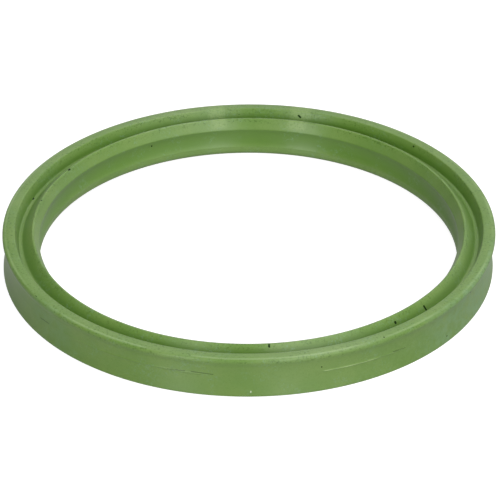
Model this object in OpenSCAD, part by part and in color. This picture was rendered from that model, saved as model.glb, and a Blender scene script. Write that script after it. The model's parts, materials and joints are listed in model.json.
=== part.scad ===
// Moulded rubber gasket for the joint of a heat exchanger.
// It is one closed ring, so the whole shape is in its cross-section, which is turned about +Z.
// Across the section from the outside in: an outer wall that stands in under the lip and has the
// moulding's parting line on it, a crowned lip, a valley, a ridge, and a hollow inner wall whose
// lowest band is the bore. Millimetres, +Z up.

/* [Ring] */
// outside diameter over the sealing lip, mm
lip_od = 110; // [90:1:180]
// thickness of the ring from the underside to the top of the lip, mm
ring_h = 9.5; // [8.5:0.1:13]
// width of the section from the bore to the outside of the lip, mm
section_w = 8.25; // [7.8:0.05:12]

/* [Lip] */
// width of the lip across its top, from its edge over the valley to its outside, mm
lip_w = 2.75; // [2.6:0.05:3.4]
// width of the slope on the outer part of the lip's top, mm
lip_slope_w = 1.2; // [1.1:0.05:1.4]
// how far that slope falls from the top of the lip to its outside, mm
lip_fall = 0.3; // [0.2:0.05:0.4]
// rounding of the lip's crown, where the slope begins, mm
crown_round = 3; // [1:0.5:3]
// rounding of the lip's outer shoulder, mm
lip_round = 0.55; // [0.3:0.05:0.55]
// height of the lip's outer side, from its top to its slanting underside, mm
lip_side_h = 1; // [1:0.05:1.3]
// rounding between the lip's outer side and its underside, mm
lip_under_round = 0.25; // [0.1:0.05:0.4]
// rounding of the lip's edge over the valley, mm
lip_edge_round = 0.4; // [0.1:0.05:0.5]
// how far the lip's inner face leans out from the valley floor to its edge, mm
lip_lean = 0.9; // [0.5:0.05:1.2]

/* [Valley] */
// depth of the valley below the top of the lip, mm
valley_d = 2.6; // [2.2:0.1:3.4]
// width of the valley's narrow floor, mm
floor_w = 0.75; // [0.7:0.05:1.2]
// rounding where the floor meets the lip's inner face, mm
valley_round = 0.2; // [0.1:0.05:0.3]
// rounding where the floor runs up into the ridge, mm
ridge_foot_round = 0.6; // [0.3:0.1:1]

/* [Ridge] */
// how far the ridge's crest lies in from the valley floor, mm
ridge_reach = 2.35; // [2.1:0.05:2.6]
// how far the ridge's rounded crest sits below the top of the lip, mm
ridge_drop = 0.3; // [0.1:0.05:0.6]
// radius of the ridge's crest, mm
crest_r = 0.4; // [0.2:0.05:0.6]
// depth of the ridge's sloping inner shoulder below the top of the lip, mm
shoulder_d = 2.6; // [2.2:0.1:3.2]
// rounding between the shoulder and the inner wall, mm
shoulder_round = 0.4; // [0.2:0.05:0.7]

/* [Inner wall and foot] */
// how much the inner wall is hollowed between the shoulder and the bore's band, mm
inner_dish = 0.5; // [0.1:0.05:0.6]
// height of the bore's straight band above the rounding at its bottom, mm
bore_band = 0.8; // [0.4:0.1:1.5]
// rounding between the hollow and the bore's band, mm
band_round = 0.4; // [0.2:0.1:0.6]
// rounding at the bottom of the bore, mm
inner_round = 1.6; // [0.5:0.1:2.2]
// how far the foot's outer side stands in from the lip's outside, mm
foot_in = 0.2; // [0.05:0.05:0.3]
// rounding at the bottom of the outer wall, mm
foot_round = 0.2; // [0.1:0.05:0.6]
// height of the straight band that the foot keeps above its rounding, mm
foot_band = 0.3; // [0.1:0.1:0.8]

/* [Waist] */
// how far the outer wall stands in from the lip's outside at the parting line, mm
waist_in = 0.5; // [0.4:0.05:0.8]
// how far the outer wall stands in right under the lip, mm
neck_in = 0.3; // [0.15:0.05:0.4]
// height of the lip's slanting underside, mm
lip_under_h = 0.9; // [0.6:0.05:1.2]
// rounding between the lip's underside and the wall, mm
neck_round = 0.8; // [0.2:0.1:1.2]
// how much the wall above the parting line is dished, mm
upper_dish = 0.05; // [0.02:0.01:0.1]
// how much the wall below the parting line is dished, mm
lower_dish = 0.1; // [0.05:0.05:0.3]
// height of the parting line above the underside, mm
parting_z = 5.1; // [4:0.1:5.8]
// width of the fine flash along the parting line, mm
flash_w = 0.3; // [0.2:0.05:0.5]
// how far the flash stands out from the wall, mm
flash_h = 0.1; // [0.05:0.01:0.2]

/* [Hidden] */
$fn = 96;
// steps in a quarter turn of a rounding, in one half of the outer wall and in the inner hollow
turn_steps = 5;
dish_steps = 5;
hollow_steps = 8;
rubber_green = [0.45, 0.55, 0.33];

lip_r = lip_od / 2;
bore_r = lip_r - section_w;
foot_r = lip_r - foot_in;
waist_r = lip_r - waist_in;
neck_r = lip_r - neck_in;
lip_edge_r = lip_r - lip_w;
floor_out_r = lip_edge_r - lip_lean;
floor_in_r = floor_out_r - floor_w;
floor_z = ring_h - valley_d;
shoulder_z = ring_h - shoulder_d;
crest = [floor_in_r - ridge_reach, ring_h - ridge_drop - crest_r];

lip_under_z = ring_h - lip_side_h;
neck_z = lip_under_z - lip_under_h;
foot_top_z = foot_round + foot_band;
band_top_z = inner_round + bore_band;

// direction from one point of the section to another, in degrees
function heading(a, b) = atan2(b[1] - a[1], b[0] - a[0]);

// the smaller turn from heading p to heading q
function turn(p, q) = let (d = q - p) d > 180 ? d - 360 : d < -180 ? d + 360 : d;

// corner b of the path a-b-c, rounded with radius r
function rounded(a, b, c, r) =
    let (
        h_in = heading(a, b),
        bend = turn(h_in, heading(b, c)),
        side = sign(bend),
        back = r * tan(abs(bend) / 2),
        start = b - back * [cos(h_in), sin(h_in)],
        mid = start + side * r * [-sin(h_in), cos(h_in)],
        steps = max(2, round(turn_steps * abs(bend) / 90))
    )
    [for (i = [0:steps])
        let (t = h_in + bend * i / steps)
        mid + side * r * [sin(t), -cos(t)]];

// an arc from a to b in a number of steps, dished by depth to the left of the way from a to b
function dished(a, b, depth, steps) =
    let (
        half = norm(b - a) / 2,
        r = (half * half + depth * depth) / (2 * depth),
        h = heading(a, b),
        mid = (a + b) / 2 + (depth - r) * [-sin(h), cos(h)],
        spread = 2 * asin(half / r)
    )
    [for (i = [0:steps])
        let (t = h + 90 + spread * (0.5 - i / steps))
        mid + r * [cos(t), sin(t)]];

// the round crest of the ridge, where straight slopes from a and to c lie against a circle of
// radius r about mid
function crested(a, mid, c, r) =
    let (
        h_up = heading(a, mid) - asin(r / norm(mid - a)),
        h_down = heading(mid, c) + asin(r / norm(c - mid)),
        bend = turn(h_up, h_down),
        steps = round(turn_steps * bend / 90)
    )
    [for (i = [0:steps])
        let (t = h_up + bend * i / steps)
        mid + r * [sin(t), -cos(t)]];

// sharp corners of the section, going round it from the bottom of the bore, outward first
bore_foot = [bore_r, 0];
outer_foot = [foot_r, 0];
foot_top = [foot_r, foot_top_z];
parting_low = [waist_r, parting_z - flash_w / 2];
parting_high = [waist_r, parting_z + flash_w / 2];
neck = [neck_r, neck_z];
lip_under = [lip_r, lip_under_z];
lip_side = [lip_r, ring_h - lip_fall];
slope_start = [lip_r - lip_slope_w, ring_h];
lip_edge = [lip_edge_r, ring_h];
floor_out = [floor_out_r, floor_z];
floor_in = [floor_in_r, floor_z];
wall_top = [bore_r, shoulder_z];
band_top = [bore_r, band_top_z];

ridge_top = crested(floor_in, crest, wall_top, crest_r);
ridge_start = ridge_top[0];
ridge_end = ridge_top[len(ridge_top) - 1];
upper_arc = dished(parting_high, neck, upper_dish, dish_steps);
inner_arc = dished(wall_top, band_top, inner_dish, hollow_steps);

// the outer wall from the foot to the lip, with the flash between its two dished halves
function outer_wall() = concat(
    dished(foot_top, parting_low, lower_dish, dish_steps),
    [[waist_r + flash_h, parting_z - flash_w / 6], [waist_r + flash_h, parting_z + flash_w / 6]],
    [for (i = [0:dish_steps - 1]) upper_arc[i]]
);

// the lip, going up from its underside and over its crown to its edge
function lip() = concat(
    rounded(upper_arc[dish_steps - 1], neck, lip_under, neck_round),
    rounded(neck, lip_under, lip_side, lip_under_round),
    rounded(lip_under, lip_side, slope_start, lip_round),
    rounded(lip_side, slope_start, lip_edge, crown_round),
    rounded(slope_start, lip_edge, floor_out, lip_edge_round)
);

// the valley and the ridge along the top of the section
function valley_and_ridge() = concat(
    rounded(lip_edge, floor_out, floor_in, valley_round),
    rounded(floor_out, floor_in, ridge_start, ridge_foot_round),
    ridge_top
);

// the inner wall, going down from the ridge's shoulder to the bore's band
function inner_wall() = concat(
    rounded(ridge_end, wall_top, inner_arc[1], shoulder_round),
    [for (i = [1:hollow_steps - 1]) inner_arc[i]],
    rounded(inner_arc[hollow_steps - 1], band_top, bore_foot, band_round)
);

module section() {
    polygon(concat(
        rounded(band_top, bore_foot, outer_foot, inner_round),
        rounded(bore_foot, outer_foot, foot_top, foot_round),
        outer_wall(),
        lip(),
        valley_and_ridge(),
        inner_wall()
    ));
}

module gasket() {
    color(rubber_green)
        rotate_extrude()
            section();
}

// which piece to show
gasket();
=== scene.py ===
import json
import math

import bpy
import numpy as np
from mathutils import Matrix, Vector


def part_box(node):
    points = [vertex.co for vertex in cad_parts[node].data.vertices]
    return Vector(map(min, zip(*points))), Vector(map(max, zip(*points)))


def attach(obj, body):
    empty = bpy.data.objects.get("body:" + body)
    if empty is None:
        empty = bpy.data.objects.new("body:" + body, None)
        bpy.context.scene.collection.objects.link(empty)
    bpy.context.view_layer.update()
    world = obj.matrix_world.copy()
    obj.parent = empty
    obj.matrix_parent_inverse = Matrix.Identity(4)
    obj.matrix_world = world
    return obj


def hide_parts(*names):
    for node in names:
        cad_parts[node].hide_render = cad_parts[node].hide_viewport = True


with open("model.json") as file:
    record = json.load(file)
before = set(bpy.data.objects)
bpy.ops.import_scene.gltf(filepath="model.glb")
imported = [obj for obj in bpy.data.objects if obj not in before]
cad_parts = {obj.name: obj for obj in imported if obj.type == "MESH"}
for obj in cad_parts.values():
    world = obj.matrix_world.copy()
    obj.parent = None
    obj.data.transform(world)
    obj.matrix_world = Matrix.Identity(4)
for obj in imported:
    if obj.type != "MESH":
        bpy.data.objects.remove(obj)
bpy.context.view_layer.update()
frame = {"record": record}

# The gasket: one closed ring of green rubber, pressed in a two-part mould. Its section has a
# crowned lip, a narrow valley, a ridge with a sloping inner shoulder, a hollow inner wall over the
# bore and a waisted outer wall, where the halves of the mould met and left a fine flash.
MM = 0.001
ring_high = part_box("gasket")[1]
bore = next(m for m in frame["record"]["mounts"] if m["name"] == "bore")
lip_r = ring_high.x
ring_h = ring_high.z
bore_r = bore["dims"]["r_mm"] * MM

lip_w = 2.75 * MM
lip_slope_w = 1.2 * MM
lip_fall = 0.3 * MM
crown_round = 3.0 * MM
lip_round = 0.55 * MM
lip_side_h = 1.0 * MM
lip_under_round = 0.25 * MM
lip_edge_round = 0.4 * MM
lip_lean = 0.9 * MM
valley_d = 2.6 * MM
floor_w = 0.75 * MM
valley_round = 0.2 * MM
ridge_foot_round = 0.6 * MM
ridge_reach = 2.35 * MM
ridge_drop = 0.3 * MM
crest_r = 0.4 * MM
shoulder_d = 2.6 * MM
shoulder_round = 0.4 * MM
inner_dish = 0.5 * MM
bore_band = 0.8 * MM
band_round = 0.4 * MM
inner_round = 1.6 * MM
foot_in = 0.2 * MM
foot_round = 0.2 * MM
foot_band = 0.3 * MM
waist_in = 0.5 * MM
neck_in = 0.3 * MM
lip_under_h = 0.9 * MM
neck_round = 0.8 * MM
upper_dish = 0.05 * MM
lower_dish = 0.1 * MM
parting_z = 5.1 * MM
flash_w = 0.3 * MM
flash_h = 0.1 * MM
# on a rounding, no step is longer or turns further than this
fine_step = 0.14 * MM
fine_turn = math.radians(12)


def heading(a, b):
    """The direction from one point of the section to another."""
    return math.atan2(b[1] - a[1], b[0] - a[0])


def smaller_turn(p, q):
    """The smaller turn from one heading to another."""
    return (q - p + math.pi) % (2 * math.pi) - math.pi


def arc_steps(r, bend):
    """How many steps an arc of radius r takes to look round."""
    return max(3, math.ceil(abs(bend) * r / fine_step), math.ceil(abs(bend) / fine_turn))


def rounded(a, b, c, r):
    """Corner b of the path a-b-c, rounded with radius r."""
    h_in = heading(a, b)
    bend = smaller_turn(h_in, heading(b, c))
    side = math.copysign(1, bend)
    back = r * math.tan(abs(bend) / 2)
    mid_x = b[0] - back * math.cos(h_in) - side * r * math.sin(h_in)
    mid_z = b[1] - back * math.sin(h_in) + side * r * math.cos(h_in)
    turns = np.linspace(h_in, h_in + bend, arc_steps(r, bend) + 1)
    return [(mid_x + side * r * math.sin(t), mid_z - side * r * math.cos(t)) for t in turns]


def dished(a, b, depth, steps):
    """An arc from a to b, dished by depth to the left of the way from a to b."""
    half = math.dist(a, b) / 2
    r = (half * half + depth * depth) / (2 * depth)
    h = heading(a, b)
    mid_x = (a[0] + b[0]) / 2 - (depth - r) * math.sin(h)
    mid_z = (a[1] + b[1]) / 2 + (depth - r) * math.cos(h)
    spread = math.asin(half / r)
    turns = np.linspace(h + math.pi / 2 + spread, h + math.pi / 2 - spread, steps + 1)
    return [(mid_x + r * math.cos(t), mid_z + r * math.sin(t)) for t in turns]


def crested(a, mid, c, r):
    """The round crest of the ridge, where straight slopes from a and to c lie against a circle."""
    h_up = heading(a, mid) - math.asin(r / math.dist(a, mid))
    bend = smaller_turn(h_up, heading(mid, c) + math.asin(r / math.dist(mid, c)))
    turns = np.linspace(h_up, h_up + bend, arc_steps(r, bend) + 1)
    return [(mid[0] + r * math.sin(t), mid[1] - r * math.cos(t)) for t in turns]


waist_r = lip_r - waist_in
foot_r = lip_r - foot_in
lip_under_z = ring_h - lip_side_h
bore_foot = (bore_r, 0.0)
outer_foot = (foot_r, 0.0)
foot_top = (foot_r, foot_round + foot_band)
parting_low = (waist_r, parting_z - flash_w / 2)
parting_high = (waist_r, parting_z + flash_w / 2)
neck = (lip_r - neck_in, lip_under_z - lip_under_h)
lip_under = (lip_r, lip_under_z)
lip_side = (lip_r, ring_h - lip_fall)
slope_start = (lip_r - lip_slope_w, ring_h)
lip_edge = (lip_r - lip_w, ring_h)
floor_out = (lip_edge[0] - lip_lean, ring_h - valley_d)
floor_in = (floor_out[0] - floor_w, ring_h - valley_d)
crest = (floor_in[0] - ridge_reach, ring_h - ridge_drop - crest_r)
wall_top = (bore_r, ring_h - shoulder_d)
band_top = (bore_r, inner_round + bore_band)
lower_arc = dished(foot_top, parting_low, lower_dish, 14)
upper_arc = dished(parting_high, neck, upper_dish, 8)
ridge_top = crested(floor_in, crest, wall_top, crest_r)
inner_arc = dished(wall_top, band_top, inner_dish, 14)
# the tip of the flash is three rows of points, close about the middle of its width
tip_share = 0.17
flash_rows = [(waist_r, parting_z + flash_w * part) for part in (-tip_share, 0.0, tip_share)]

# the corners of the section, going round it from the bottom of the bore, outward first
corners = (
    rounded(bore_foot, outer_foot, foot_top, foot_round)
    + lower_arc
    + flash_rows
    + upper_arc[:-1]
    + rounded(upper_arc[-2], neck, lip_under, neck_round)
    + rounded(neck, lip_under, lip_side, lip_under_round)
    + rounded(lip_under, lip_side, slope_start, lip_round)
    + rounded(lip_side, slope_start, lip_edge, crown_round)
    + rounded(slope_start, lip_edge, floor_out, lip_edge_round)
    + rounded(lip_edge, floor_out, floor_in, valley_round)
    + rounded(floor_out, floor_in, ridge_top[0], ridge_foot_round)
    + ridge_top
    + rounded(ridge_top[-1], wall_top, inner_arc[1], shoulder_round)
    + inner_arc[1:-1]
    + rounded(inner_arc[-2], band_top, bore_foot, band_round)
    + rounded(band_top, bore_foot, outer_foot, inner_round)
)

# long straight stretches are split, so that the rubber's slight waves show on them too
longest_step = 5 * fine_step
outline = []
for (x0, z0), (x1, z1) in zip(corners, corners[1:] + corners[:1]):
    parts = max(1, math.ceil(math.dist((x0, z0), (x1, z1)) / longest_step))
    outline += [(x0 + (x1 - x0) * i / parts, z0 + (z1 - z0) * i / parts) for i in range(parts)]
section_x = np.array([x for x, z in outline])
section_z = np.array([z for x, z in outline])
on_flash = np.array([point in flash_rows for point in outline])
stations = 640
angles = np.linspace(0, 2 * math.pi, stations, endpoint=False)
degrees = np.degrees(angles)


def bell(middle, half, power=2):
    """A swelling round the ring: 1 at the middle direction, about a third at half to either side."""
    return np.exp(-((degrees - middle) / half) ** power)


# The flash is a thin torn skin: it stands along parts of the parting line and is worn off between.
# Each span is its middle and half its length, in degrees. One of them is worn low near its end.
flash_spans = [(241, 19), (297, 11), (28, 30), (120, 34)]
span_edge = 1.5
least_flash = 0.04
tear_depth = 0.25
worn_depth = 0.45
flash_left = np.zeros(stations)
for middle, half in flash_spans:
    inside = half - np.abs((degrees - middle + 180) % 360 - 180)
    flash_left = np.maximum(flash_left, np.clip(inside / span_edge, 0, 1))
flash_tear = 1 - tear_depth + tear_depth * np.sin(23 * angles + 0.7) * np.sin(41 * angles + 2.0)
flash_worn = 1 - worn_depth * bell(226, 14, power=4)
flash_up = flash_h * (least_flash + (1 - least_flash) * flash_left * flash_tear * flash_worn)

# The parting line isn't quite level: it rises in one place and sinks in another.
wave_rise = 0.3 * MM
wave_sink = 0.15 * MM
parting_wave = wave_rise * (bell(248, 14) - 0.5) - wave_sink * bell(300, 18)

# Soft rubber never lies quite flat or round: its top dips and its wall draws in by hundredths of a
# millimetre, and its foot stands a little aside from the lip, toward -X.
unevenness = 0.02 * MM
foot_aside = 0.2 * MM
outer_wall_w = 1.0 * MM
dip = unevenness * (1 + 0.6 * np.sin(2 * angles + 0.6) + 0.4 * np.sin(3 * angles + 2.2))
draw = unevenness * (1 + 0.6 * np.sin(2 * angles + 2.4) + 0.4 * np.sin(5 * angles + 0.3))
height_share = section_z / ring_h
radii = section_x + np.outer(flash_up, on_flash) - np.outer(draw, height_share)
on_outer_wall = section_x > lip_r - outer_wall_w
wave_share = np.sin(np.pi * height_share) ** 2 * on_outer_wall
heights = section_z - np.outer(dip, height_share) + np.outer(parting_wave, wave_share)
lean = foot_aside * (1 - height_share)
ring_x = radii * np.cos(angles)[:, None] - lean
ring_y = radii * np.sin(angles)[:, None]
points = np.stack([ring_x, ring_y, heights], -1)
across = len(outline)
faces = []
for i in range(stations):
    here = i * across
    after = (i + 1) % stations * across
    for j in range(across):
        k = (j + 1) % across
        faces.append((here + j, after + j, after + k, here + k))
ring_mesh = bpy.data.meshes.new("gasket_ring")
ring_mesh.from_pydata(points.reshape(-1, 3).tolist(), [], faces)
ring_mesh.shade_smooth()
ring = bpy.data.objects.new("gasket_ring", ring_mesh)
bpy.context.collection.objects.link(ring)


def add(tree, kind, inputs, **settings):
    """A new node of a tree, its settings made and its inputs filled or linked."""
    made = tree.nodes.new(kind)
    for name, value in settings.items():
        setattr(made, name, value)
    for name, value in inputs.items():
        if isinstance(value, bpy.types.NodeSocket):
            tree.links.new(value, made.inputs[name])
        else:
            made.inputs[name].default_value = value
    return made


def sum_up(tree, operation, first, second, clamp=False):
    """The result of one sum on two values."""
    made = add(tree, "ShaderNodeMath", {0: first, 1: second}, operation=operation, use_clamp=clamp)
    return made.outputs[0]


def product(tree, first, *others):
    """Masks and strengths multiplied together."""
    so_far = first
    for other in others:
        so_far = sum_up(tree, "MULTIPLY", so_far, other)
    return so_far


def how_far(tree, value, middle):
    """How far a value lies from a middle one, either way."""
    return sum_up(tree, "ABSOLUTE", sum_up(tree, "SUBTRACT", value, middle), 0.0)


def fade(tree, value, low, high):
    """A mask that goes smoothly from 0 at low to 1 at high, or back where low is the greater."""
    start, end = min(low, high), max(low, high)
    ends = (0.0, 1.0) if low < high else (1.0, 0.0)
    made = add(tree, "ShaderNodeMapRange", {0: value, 1: start, 2: end, 3: ends[0], 4: ends[1]},
               interpolation_type="SMOOTHSTEP")
    return made.outputs[0]


def cloud(tree, place, size, detail=3.0, roughness=0.5):
    """Noise whose patches are about as wide as size."""
    made = add(tree, "ShaderNodeTexNoise", {"Vector": place, "Scale": 1 / size, "Detail": detail,
               "Roughness": roughness})
    return made.outputs[0]


def tint(tree, share, under, over):
    """A colour laid over another by a mask."""
    made = add(tree, "ShaderNodeMix", {0: share, 6: under, 7: over}, data_type="RGBA")
    return made.outputs[2]


# A fleck is a speck of grit or a nick in the skin: a short mark between two points on the rubber,
# solid over most of its half width and soft at its edge.
solid_share = 0.7
fleck = bpy.data.node_groups.new("fleck", "ShaderNodeTree")
fleck.interface.new_socket("Place", in_out="INPUT", socket_type="NodeSocketVector")
fleck.interface.new_socket("Start", in_out="INPUT", socket_type="NodeSocketVector")
fleck.interface.new_socket("End", in_out="INPUT", socket_type="NodeSocketVector")
fleck.interface.new_socket("Radius", in_out="INPUT", socket_type="NodeSocketFloat")
fleck.interface.new_socket("Mask", in_out="OUTPUT", socket_type="NodeSocketFloat")
given = fleck.nodes.new("NodeGroupInput")
out_from = add(fleck, "ShaderNodeVectorMath", {0: given.outputs["Place"], 1: given.outputs["Start"]},
               operation="SUBTRACT").outputs[0]
along = add(fleck, "ShaderNodeVectorMath", {0: given.outputs["End"], 1: given.outputs["Start"]},
            operation="SUBTRACT").outputs[0]
reach = add(fleck, "ShaderNodeVectorMath", {0: out_from, 1: along}, operation="DOT_PRODUCT").outputs["Value"]
span = add(fleck, "ShaderNodeVectorMath", {0: along, 1: along}, operation="DOT_PRODUCT").outputs["Value"]
share = sum_up(fleck, "DIVIDE", reach, span, clamp=True)
nearest = add(fleck, "ShaderNodeVectorMath", {0: along, "Scale": share}, operation="SCALE").outputs[0]
gap = add(fleck, "ShaderNodeVectorMath", {0: out_from, 1: nearest}, operation="DISTANCE").outputs["Value"]
core = product(fleck, given.outputs["Radius"], solid_share)
edge = add(fleck, "ShaderNodeMapRange", {0: gap, 1: core, 2: given.outputs["Radius"], 3: 1.0, 4: 0.0},
           interpolation_type="SMOOTHSTEP").outputs[0]
result = fleck.nodes.new("NodeGroupOutput")
fleck.links.new(edge, result.inputs["Mask"])

rubber = bpy.data.materials.new("green_rubber")
rubber.use_nodes = True
tree = rubber.node_tree
shader = tree.nodes["Principled BSDF"]
place = tree.nodes.new("ShaderNodeTexCoord").outputs["Object"]
axes = add(tree, "ShaderNodeSeparateXYZ", {0: place})
across_x, across_y, up = axes.outputs[0], axes.outputs[1], axes.outputs[2]
flat = add(tree, "ShaderNodeCombineXYZ", {0: across_x, 1: across_y, 2: 0.0}).outputs[0]
radius = add(tree, "ShaderNodeVectorMath", {0: flat}, operation="LENGTH").outputs["Value"]


def toward(azimuth, edge_far, edge_near):
    """A mask of the ring's stretch round one compass direction, in degrees out from its middle."""
    heading_in = (math.cos(math.radians(azimuth)), math.sin(math.radians(azimuth)), 0)
    reach_in = add(tree, "ShaderNodeVectorMath", {0: flat, 1: heading_in}, operation="DOT_PRODUCT")
    turned = sum_up(tree, "DIVIDE", reach_in.outputs["Value"], radius)
    return fade(tree, turned, math.cos(math.radians(edge_far)), math.cos(math.radians(edge_near)))


# Colour of the rubber: dull green, a little yellower in some clouds, with faint darker lines where
# it flowed round the mould and a fine dark grain.
green = (0.155, 0.28, 0.057, 1)
yellow_green = (0.18, 0.30, 0.068, 1)
deep_green = (0.13, 0.25, 0.042, 1)
cloud_size = 9 * MM
flow_size = 0.8 * MM
flow_stretch = (0.09, 0.09, 1.0)
flow_strength = 0.55
grain_size = 0.45 * MM
grain_strength = 0.45
clouds = fade(tree, cloud(tree, place, cloud_size), 0.38, 0.66)
flow_place = add(tree, "ShaderNodeVectorMath", {0: place, 1: flow_stretch},
                 operation="MULTIPLY").outputs[0]
flow_across = product(tree, radius, 1 / flow_size)
flow = add(tree, "ShaderNodeTexNoise", {"Vector": flow_place, "W": flow_across, "Scale": 1 / flow_size,
           "Detail": 3.0, "Roughness": 0.6}, noise_dimensions="4D").outputs[0]
grain = cloud(tree, place, grain_size, 3.0, 0.7)
flow_lines = product(tree, fade(tree, flow, 0.52, 0.72), flow_strength)
dark_grain = product(tree, fade(tree, grain, 0.50, 0.36), grain_strength)
body = tint(tree, clouds, green, yellow_green)
body = tint(tree, flow_lines, body, deep_green)
body = tint(tree, dark_grain, body, deep_green)
shader.inputs["Specular IOR Level"].default_value = 0.6
shader.inputs["Anisotropic"].default_value = 0.95
shader.inputs["Anisotropic Rotation"].default_value = 0.25

# The valley's slopes and the hollow of the inner wall are darker: painted shade of these recesses, with
# cleaner rubber out of reach of handling. Each pair is where that colour begins and where it is full.
shade_and_clean_green = (0.115, 0.24, 0.028, 1)
shade_and_clean_strength = 0.9
valley_depths = (9.15 * MM, 7.3 * MM)
valley_floor = (6.92 * MM, 7.15 * MM)
valley_inner_r = (48.3 * MM, 49.0 * MM)
valley_outer_r = (52.3 * MM, 52.0 * MM)
hollow_r = (47.9 * MM, 47.5 * MM)
hollow_top = (7.3 * MM, 6.6 * MM)
hollow_bottom = (1.8 * MM, 3.6 * MM)
valley = product(tree, fade(tree, up, *valley_depths), fade(tree, radius, *valley_inner_r),
                 fade(tree, radius, *valley_outer_r), fade(tree, up, *valley_floor))
hollow = product(tree, fade(tree, radius, *hollow_r), fade(tree, up, *hollow_top),
                 fade(tree, up, *hollow_bottom))
# painted shade of the recesses, together with their cleaner rubber
shade_and_clean = product(tree, sum_up(tree, "MAXIMUM", valley, hollow), shade_and_clean_strength)
body = tint(tree, shade_and_clean, body, shade_and_clean_green)

# Pale bluish film: in patches on two stretches of the outer wall, toward the sides, a painted sheen of
# grazing reflection over some bloom; elsewhere a thin dust. Small spots on and beside the longer
# stretch are worn down to darker rubber.
sheen_and_dust_grey = (0.20, 0.34, 0.165, 1)
outer_wall_edge = (lip_r - 1.1 * MM, lip_r - 0.7 * MM)
patch_size = 2.2 * MM
wall_sheen_strength = 0.72
shorter_sheen = 0.5
speckle_size = 0.7 * MM
dusty_size = 6 * MM
dust_strength = 0.55
mottle_size = 1.0 * MM
mottle_strength = 0.55
outside = fade(tree, radius, *outer_wall_edge)
patches = fade(tree, cloud(tree, place, patch_size, 5.0, 0.75), 0.36, 0.62)
sheen_sides = sum_up(tree, "MAXIMUM", toward(334, 24, 5), product(tree, toward(218, 10, 3), shorter_sheen))
# the patches on the two stretches are painted sheen of grazing reflection, with some bloom
painted_wall_sheen = product(tree, patches, sheen_sides, outside, wall_sheen_strength)
speckle = fade(tree, cloud(tree, place, speckle_size, 4.0, 0.75), 0.50, 0.66)
dusty = fade(tree, cloud(tree, place, dusty_size, 2.0), 0.45, 0.62)
dust_and_sheen = sum_up(tree, "MAXIMUM", painted_wall_sheen, product(tree, speckle, dusty, dust_strength))
mottle = fade(tree, cloud(tree, place, mottle_size, 3.0, 0.7), 0.42, 0.60)
worn_spots = product(tree, mottle, outside, toward(325, 40, 12), mottle_strength)
body = tint(tree, worn_spots, body, deep_green)
# dust, and the painted sheen on the two stretches, laid over the green
body = tint(tree, dust_and_sheen, body, sheen_and_dust_grey)

# Fine pits and dark dust on the tops of the lip and the ridge, more in some clouds.
pit_green = (0.070, 0.160, 0.020, 1)
pit_size = 0.5 * MM
pitted_size = 5 * MM
pit_strength = 0.75
tops_z = (8.0 * MM, 8.6 * MM)
pits = fade(tree, cloud(tree, place, pit_size, 2.0, 0.6), 0.53, 0.66)
pitted = fade(tree, cloud(tree, place, pitted_size, 2.0), 0.30, 0.55)
pits = product(tree, pits, fade(tree, up, *tops_z), pitted, pit_strength)
body = tint(tree, pits, body, pit_green)

# Two short pale stripes over the top at the back: painted highlights, where lamps glint across the ring.
highlight_green = (0.225, 0.35, 0.10, 1)
highlight_strength = 0.8
highlight_z = (6.9 * MM, 7.9 * MM)
painted_highlight = sum_up(tree, "MAXIMUM", toward(98.4, 2.8, 1.0), toward(76.6, 3.4, 1.4))
painted_highlight = product(tree, painted_highlight, fade(tree, up, *highlight_z), fade(tree, grain, 0.30, 0.55), highlight_strength)
# painted highlight of two stripes of lamp light
body = tint(tree, painted_highlight, body, highlight_green)

# A paler line along the lip's outer shoulder, in stretches all round the ring: a painted highlight.
crown_highlight_green = (0.330, 0.480, 0.200, 1)
crown_r = 54.32 * MM
crown_edge = (0.38 * MM, 0.05 * MM)
crown_z = (8.9 * MM, 9.1 * MM)
stretch_size = 14 * MM
crown_highlight_strength = 0.6
on_crown = product(tree, fade(tree, how_far(tree, radius, crown_r), *crown_edge),
                   fade(tree, up, *crown_z))
stretches = fade(tree, cloud(tree, place, stretch_size, 2.0), 0.36, 0.54)
crown_highlight = product(tree, on_crown, stretches, crown_highlight_strength, fade(tree, flow, 0.30, 0.60))
# painted highlight along the crown
body = tint(tree, crown_highlight, body, crown_highlight_green)

# Flash: along one of its stretches the thin skin on the parting line is paler than the wall, partly
# as thin rubber and partly as a painted highlight where its top catches the light.
pale_skin_and_glint = (0.420, 0.580, 0.250, 1)
skin_r = waist_r + 0.8 * flash_h
skin_edge = (0.09 * MM, 0.03 * MM)
skin_reach = (0.6 * MM, 0.5 * MM)
on_skin_glint = product(tree, fade(tree, how_far(tree, radius, skin_r), *skin_edge),
                  fade(tree, how_far(tree, up, parting_z), *skin_reach), toward(297, 14, 10))
# painted highlight on the flash's top, with its thin paler skin
body = tint(tree, on_skin_glint, body, pale_skin_and_glint)


# The faces of the section that marks lie on, each as its own run of corners.
faces_of_section = {
    "lower_wall": lower_arc,
    "upper_wall": upper_arc,
    "lip_underside": [lip_under, neck],
    "crown": [slope_start, lip_side],
    "lip_inside": [floor_out, lip_edge],
    "valley_floor": [floor_in, floor_out],
    "ridge_slope": [ridge_top[0], floor_in],
    "crest": ridge_top,
    "hollow": inner_arc,
}


def spot(azimuth, face, share):
    """A point on the ring: a compass direction, and how far along a face of the section it lies."""
    path = faces_of_section[face]
    step = min(int(share * (len(path) - 1)), len(path) - 2)
    rest = share * (len(path) - 1) - step
    x = path[step][0] + rest * (path[step + 1][0] - path[step][0])
    z = path[step][1] + rest * (path[step + 1][1] - path[step][1])
    turned = math.radians(azimuth)
    return (x * math.cos(turned) - foot_aside * (1 - z / ring_h), x * math.sin(turned), z)
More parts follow.
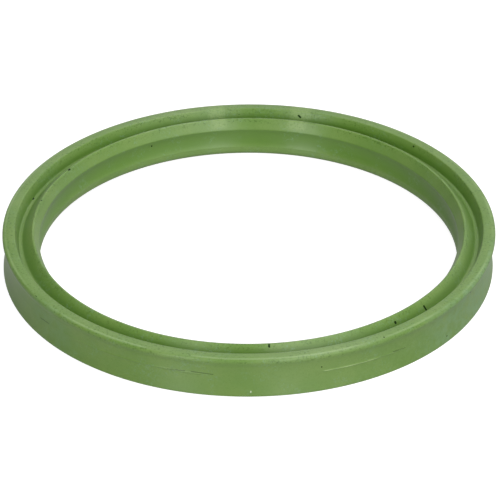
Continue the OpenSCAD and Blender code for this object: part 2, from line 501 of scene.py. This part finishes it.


# Flecks: dark grit pressed into the skin, nicks along the parting line that are darkened with painted
# shade, and one dot of chalk.
# Each is set on a face of the section: the compass direction and the share of the face
# where it starts, the same where it ends, and its half width in millimetres.
dark_fleck = (0.012, 0.030, 0.008, 1)
nick_shade_green = (0.050, 0.110, 0.012, 1)
pale_chalk = (0.600, 0.680, 0.480, 1)
flecks = [
    ("crest", 148.5, 0.8, 149, 0.7, 0.26),
    ("ridge_slope", 161.5, 0.55, 162, 0.6, 0.28),
    ("valley_floor", 162, 1.0, 162.5, 1.0, 0.26),
    ("crest", 166.5, 0.6, 166.5, 0.6, 0.24),
    ("lip_inside", 182, 0.65, 182, 0.7, 0.21),
    ("hollow", 118.5, 0.25, 118.5, 0.3, 0.19),
    ("lip_inside", 92.5, 0.5, 92.5, 0.5, 0.13),
    ("lip_inside", 77, 0.6, 76.5, 0.5, 0.27),
    ("lip_inside", 43, 0.75, 43, 0.75, 0.25),
    ("ridge_slope", 20.5, 0.05, 21, 0.05, 0.21),
    ("ridge_slope", 275, 0.0, 275, 0.15, 0.24),
    ("ridge_slope", 309.5, 0.45, 309.5, 0.5, 0.35),
    ("ridge_slope", 320, 0.45, 320, 0.75, 0.28),
    ("crown", 302, 0.4, 302, 0.4, 0.2),
    ("lip_underside", 331.5, 0.5, 331.5, 0.5, 0.24),
    ("upper_wall", 286.5, 0.3, 286.5, 0.3, 0.2),
    ("lower_wall", 322, 0.25, 322, 0.25, 0.2),
    ("crown", 212, 0.7, 212.5, 0.7, 0.08),
]
nicks = [
    ("lower_wall", 214, 0.9, 217.5, 0.95, 0.13),
    ("upper_wall", 251.5, 0.0, 255.5, 0.05, 0.11),
    ("upper_wall", 257, 0.1, 262, 0.0, 0.12),
    ("lower_wall", 304.5, 1.0, 308, 0.95, 0.10),
]
chalk_dots = [("lower_wall", 270.5, 0.15, 270.5, 0.2, 0.16)]
nick_shade_strength = 0.9
mark_sink = 0.8

# Noise moves the place at which a mark is looked for, so that its edges come out ragged.
ragged_size = 0.35 * MM
ragged_reach = 0.22 * MM
ragged = add(tree, "ShaderNodeTexNoise", {"Vector": place, "Scale": 1 / ragged_size, "Detail": 2.0})
ragged = add(tree, "ShaderNodeVectorMath", {0: ragged.outputs["Color"], 1: (0.5, 0.5, 0.5)},
             operation="SUBTRACT").outputs[0]
ragged_place = add(tree, "ShaderNodeVectorMath", {0: ragged, 1: (ragged_reach,) * 3, 2: place},
                   operation="MULTIPLY_ADD").outputs[0]


def marked(spots):
    """A mask of a list of short marks."""
    marks_in = 0.0
    for face, start, start_share, end, end_share, half_width in spots:
        mark = add(tree, "ShaderNodeGroup", {}, node_tree=fleck)
        tree.links.new(ragged_place, mark.inputs["Place"])
        mark.inputs["Start"].default_value = spot(start, face, start_share)
        mark.inputs["End"].default_value = spot(end, face, end_share)
        mark.inputs["Radius"].default_value = half_width * MM
        marks_in = sum_up(tree, "MAXIMUM", mark.outputs["Mask"], marks_in)
    return marks_in


grit = marked(flecks)
cuts = marked(nicks)
marks = sum_up(tree, "MAXIMUM", grit, cuts)
# the nicks are darkened with painted shade of their small gaps
body = tint(tree, product(tree, cuts, nick_shade_strength), body, nick_shade_green)
body = tint(tree, grit, body, dark_fleck)
body = tint(tree, marked(chalk_dots), body, pale_chalk)
tree.links.new(body, shader.inputs["Base Color"])
# as a metal, the grit keeps its own dark colour and takes no pale gloss from the rubber's skin
tree.links.new(grit, shader.inputs["Metallic"])

# The skin: an even moulded face with a fine grain and low swells, a little duller under the dust and
# the painted sheen, into which the grit and the nicks are sunk.
clean_roughness = 0.36
dust_and_sheen_roughness = 0.50
grain_dulling = 0.4
grain_relief = 0.35
swell_size = 2.6 * MM
relief_depth = 0.05 * MM
dulling = sum_up(tree, "ADD", dust_and_sheen, product(tree, grain, grain_dulling))
gloss = add(tree, "ShaderNodeMapRange", {0: dulling, 1: 0.1, 2: 1.0, 3: clean_roughness,
            4: dust_and_sheen_roughness})
tree.links.new(gloss.outputs[0], shader.inputs["Roughness"])
swell = cloud(tree, place, swell_size, 2.0)
relief = sum_up(tree, "ADD", product(tree, grain, grain_relief), swell)
relief = sum_up(tree, "SUBTRACT", relief, product(tree, marks, mark_sink))
bump = add(tree, "ShaderNodeBump", {"Strength": 0.6, "Distance": relief_depth, "Height": relief})
tree.links.new(bump.outputs[0], shader.inputs["Normal"])
ring_mesh.materials.append(rubber)
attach(ring, "root")
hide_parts("gasket")

# The floor: a plain white sheet under the ring, which keeps the ring's soft shadow. It lies a hair
# lower than the ring's foot, so that the two faces don't fight, and the camera and the gloss see it
# as white from its own colour, not from more light.
floor_half = 2.0
floor_z = -0.02 * MM
sheet_grey = (0.4, 0.4, 0.4, 1)
white_to_camera = 0.88
white_to_gloss = 0.35
floor_corners = [(-floor_half, -floor_half, floor_z), (floor_half, -floor_half, floor_z),
                 (floor_half, floor_half, floor_z), (-floor_half, floor_half, floor_z)]
floor_mesh = bpy.data.meshes.new("white_floor")
floor_mesh.from_pydata(floor_corners, [], [(0, 1, 2, 3)])
floor = bpy.data.objects.new("white_floor", floor_mesh)
bpy.context.collection.objects.link(floor)
paper = bpy.data.materials.new("white_paper")
paper.use_nodes = True
paper_tree = paper.node_tree
sheet = paper_tree.nodes["Principled BSDF"]
sheet.inputs["Base Color"].default_value = sheet_grey
sheet.inputs["Roughness"].default_value = 0.9
sheet.inputs["Specular IOR Level"].default_value = 0.0
seen = paper_tree.nodes.new("ShaderNodeLightPath")
lift = product(paper_tree, seen.outputs["Is Camera Ray"], white_to_camera)
lift = add(paper_tree, "ShaderNodeMath", {0: seen.outputs["Is Glossy Ray"], 1: white_to_gloss, 2: lift},
           operation="MULTIPLY_ADD").outputs[0]
glow = add(paper_tree, "ShaderNodeEmission", {"Strength": lift})
both = add(paper_tree, "ShaderNodeAddShader", {0: sheet.outputs[0], 1: glow.outputs[0]})
paper_tree.links.new(both.outputs[0], paper_tree.nodes["Material Output"].inputs["Surface"])
floor_mesh.materials.append(paper)

# The light: plain soft panels round the ring. Two bright strips stand in front, on either side of
# the camera, a small bright panel hangs high at the right, weaker ones fill the front, the sides
# and the back, and the room adds a faint even light.
room = bpy.data.worlds.new("pale_room")
room.use_nodes = True
room.node_tree.nodes["Background"].inputs["Color"].default_value = (1, 1, 1, 1)
room.node_tree.nodes["Background"].inputs["Strength"].default_value = 0.02
bpy.context.scene.world = room


def softbox(name, azimuth, elevation, size, strength):
    """A lamp panel far from the ring, toward a compass direction, where 270 is the camera's. Its
    size is the width and height that it fills as seen from the ring, in degrees."""
    distance = 2.5
    lamp = bpy.data.lights.new(name, "AREA")
    lamp.shape = "RECTANGLE"
    lamp.size = 2 * distance * math.tan(math.radians(size[0] / 2))
    lamp.size_y = 2 * distance * math.tan(math.radians(size[1] / 2))
    lamp.energy = strength * math.pi * lamp.size * lamp.size_y
    holder = bpy.data.objects.new(name, lamp)
    turn_in = Matrix.Rotation(math.radians(azimuth + 90), 4, "Z")
    tilt = Matrix.Rotation(math.radians(90 - elevation), 4, "X")
    holder.matrix_world = turn_in @ tilt @ Matrix.Translation((0, 0, distance))
    bpy.context.collection.objects.link(holder)


softbox("strip_left", 240, 20, (15, 25), 6.5)
softbox("strip_right", 285, 20, (15, 25), 5.5)
softbox("front_fill", 255, 20, (50, 25), 0.6)
softbox("right_low", 310, 20, (30, 25), 2.0)
softbox("right_far", 340, 20, (30, 25), 0.8)
softbox("left_middle", 245, 45, (20, 25), 1.5)
softbox("right_middle", 295, 45, (20, 25), 3.0)
softbox("right_high", 350, 70, (15, 25), 7.0)
softbox("back_low", 55, 20, (115, 30), 0.8)
softbox("back_middle", 95, 50, (35, 30), 2.0)
softbox("back_side", 40, 50, (50, 30), 0.6)
softbox("back_high", 90, 75, (50, 20), 1.0)

# The camera stands in front of the ring and looks down on it through a long lens. It is sixteen
# lip radii away, and its framing puts the ring's middle at the photograph's place.
picture_px = 500
radii_away = 16
px_per_lip_r = 246.49
centre_px = (248.96, 224.61)
camera_tilt = math.radians(31.77)
camera_roll = math.radians(0.154)
camera_distance = radii_away * lip_r
focal_px = px_per_lip_r * radii_away
look = Matrix.Rotation(math.pi / 2 - camera_tilt, 4, "X") @ Matrix.Rotation(-camera_roll, 4, "Z")
aside = (picture_px / 2 - centre_px[0]) / focal_px * camera_distance
above = (centre_px[1] - picture_px / 2) / focal_px * camera_distance
stand = Matrix.Translation((0, 0, ring_h)) @ look @ Matrix.Translation((aside, above, camera_distance))
lens = bpy.data.cameras.new("camera")
lens.sensor_width = 36
lens.lens = focal_px / picture_px * lens.sensor_width
camera = bpy.data.objects.new("camera", lens)
camera.matrix_world = stand
bpy.context.collection.objects.link(camera)
bpy.context.scene.camera = camera
bpy.context.scene.view_settings.view_transform = "Standard"
